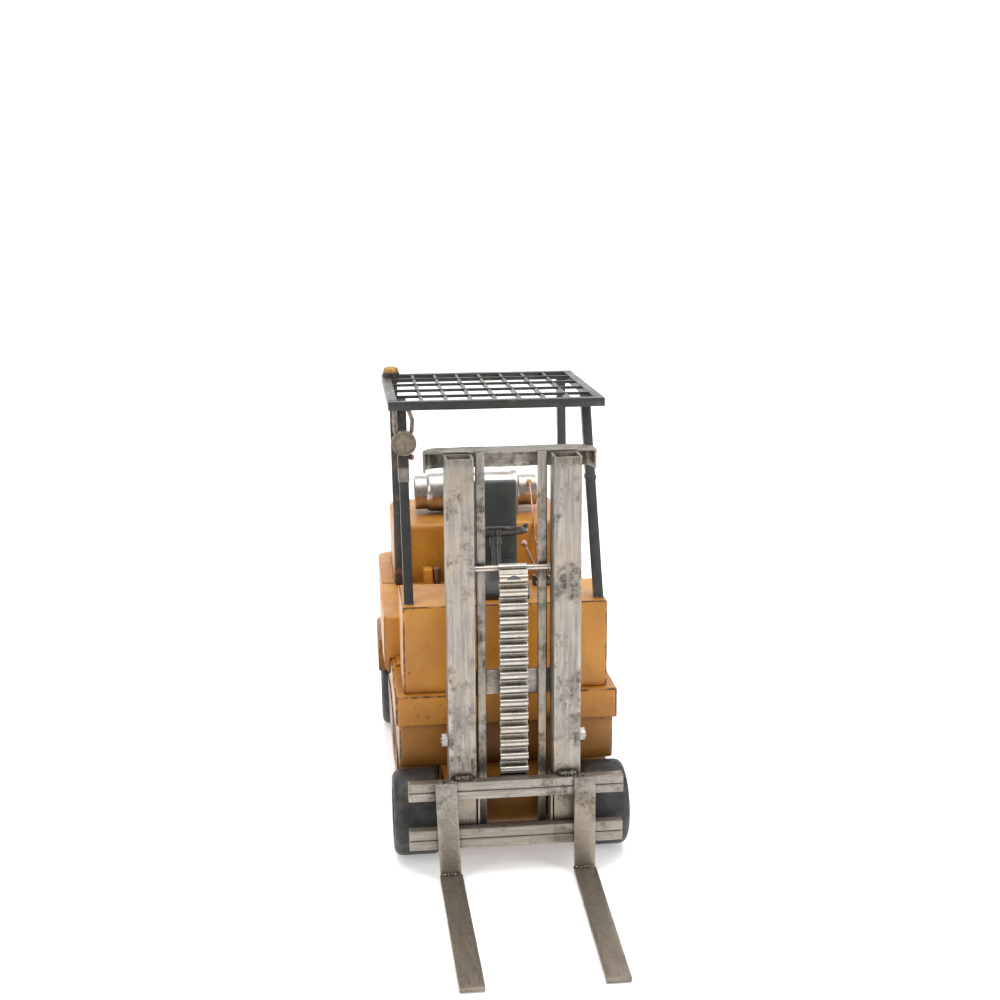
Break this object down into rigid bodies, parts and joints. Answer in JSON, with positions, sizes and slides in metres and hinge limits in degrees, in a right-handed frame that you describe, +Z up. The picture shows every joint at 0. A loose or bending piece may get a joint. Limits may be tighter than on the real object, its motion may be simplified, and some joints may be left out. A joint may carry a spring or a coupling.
{
  "type": "toy forklift",
  "caption": "Handmade tin model of a counterbalance forklift with overhead guard, gas tank, steel mast, lifting fork carriage and rolling wheels.",
  "frame": {"origin": "on the ground plane, at the middle of the bounding box in X and Y", "axes": "+Z up, -Y towards the fork tips, +Y towards the tail, +X to the driver's left; left and right in node and body names are as seen from in front of the forks, facing +Y, so left is -X"},
  "size_m": [0.104, 0.294, 0.1975],
  "materials": {
    "ochre_paint": "satin hand-rubbed enamel with darkened, worn edges",
    "black_paint": "satin black enamel",
    "seat_paint": "satin greenish black enamel on folded tin",
    "fastener_steel": "bare",
    "sleeve_metal": "bare light metal, its upper half darkened",
    "burnt_steel": "wire-brushed bare steel with heat stains",
    "bright_steel": "polished bare steel",
    "polished_tank": "dull polished tin",
    "brass_fitting": "satin",
    "copper_pipe": "satin copper",
    "rust_paint": "satin",
    "dull_tin": "aged",
    "smoked_glass": "frosted",
    "red_lens": "gloss",
    "amber_lens": "gloss",
    "tyre_rubber": "satin",
    "hub_paint": "satin",
    "black_trim": "satin",
    "lever_metal": "satin with pinkish knob"
  },
  "bodies": {
    "chassis": {"chassis_tub": "ochre_paint", "belly_plate": "ochre_paint", "lower_body": "ochre_paint", "running_board": "ochre_paint", "front_cowl": "ochre_paint", "floor_plate": "ochre_paint", "engine_hood": "ochre_paint", "counterweight": "ochre_paint", "side_steps": "ochre_paint", "axles": "fastener_steel", "dashboard": "black_paint", "steering_column": "black_paint", "lever_bracket": "black_paint", "seat_base": "black_paint", "seat_cushion": "seat_paint", "seat_back": "seat_paint", "console_box": "ochre_paint", "filler_cap": "rust_paint", "tank_shell": "polished_tank", "tank_collars": "polished_tank", "tank_cradles": "polished_tank", "tank_straps": "polished_tank", "tank_valve": "brass_fitting", "gas_pipe": "copper_pipe", "roof_frame": "black_paint", "roof_grille": "black_paint", "guard_posts": "black_paint", "post_sleeve": "sleeve_metal", "lamp_housing": "dull_tin", "lamp_lens": "smoked_glass", "lamp_bracket": "dull_tin", "indicator_lamp": "red_lens", "beacon_base": "black_paint", "beacon_dome": "amber_lens", "mast_brackets": "ochre_paint", "pivot_bolts": "fastener_steel"},
    "front_wheel_left": {"front_tyre_left": "tyre_rubber", "front_hub_left": "hub_paint"},
    "front_wheel_right": {"front_tyre_right": "tyre_rubber", "front_hub_right": "hub_paint"},
    "rear_wheel_left": {"rear_tyre_left": "tyre_rubber", "rear_hub_left": "hub_paint"},
    "rear_wheel_right": {"rear_tyre_right": "tyre_rubber", "rear_hub_right": "hub_paint"},
    "mast": {"mast_tubes": "burnt_steel", "mast_top_beam": "burnt_steel", "mast_rails": "burnt_steel", "mast_braces": "burnt_steel"},
    "carriage": {"crosshead": "bright_steel", "lift_chain": "bright_steel", "carriage_bars": "burnt_steel", "carriage_guides": "burnt_steel", "chain_anchor": "burnt_steel", "fork_left": "burnt_steel", "fork_right": "burnt_steel"},
    "steering": {"steering_wheel": "black_trim"},
    "lift_control": {"lift_lever": "lever_metal"},
    "tilt_control": {"tilt_lever": "lever_metal"}
  },
  "joints": [
    {"name": "front_wheel_left_roll", "type": "hinge", "parent": "chassis", "child": "front_wheel_left", "pos_m": [-0.0402, -0.032, 0.01815], "axis": [1, 0, 0], "continuous": true},
    {"name": "front_wheel_right_roll", "type": "hinge", "parent": "chassis", "child": "front_wheel_right", "pos_m": [0.0402, -0.032, 0.01815], "axis": [1, 0, 0], "continuous": true},
    {"name": "rear_wheel_left_roll", "type": "hinge", "parent": "chassis", "child": "rear_wheel_left", "pos_m": [-0.0402, 0.123, 0.0175], "axis": [1, 0, 0], "continuous": true},
    {"name": "rear_wheel_right_roll", "type": "hinge", "parent": "chassis", "child": "rear_wheel_right", "pos_m": [0.0402, 0.123, 0.0175], "axis": [1, 0, 0], "continuous": true},
    {"name": "mast_tilt", "type": "hinge", "parent": "chassis", "child": "mast", "pos_m": [0, -0.0485, 0.0565], "axis": [-1, 0, 0], "range_deg": [0, 6]},
    {"name": "fork_lift", "type": "slide", "parent": "mast", "child": "carriage", "axis": [0, 0, 1], "range_m": [0, 0.036]},
    {"name": "steering_turn", "type": "hinge", "parent": "chassis", "child": "steering", "pos_m": [0, 0.018, 0.1286], "axis": [0, 0.342, 0.9397], "continuous": true},
    {"name": "lift_lever_swing", "type": "hinge", "parent": "chassis", "child": "lift_control", "pos_m": [0.01885, 0.0065, 0.1095], "axis": [1, 0, 0], "range_deg": [-12, 12]},
    {"name": "tilt_lever_swing", "type": "hinge", "parent": "chassis", "child": "tilt_control", "pos_m": [0.02415, 0.0065, 0.1095], "axis": [1, 0, 0], "range_deg": [-12, 12]}
  ]
}
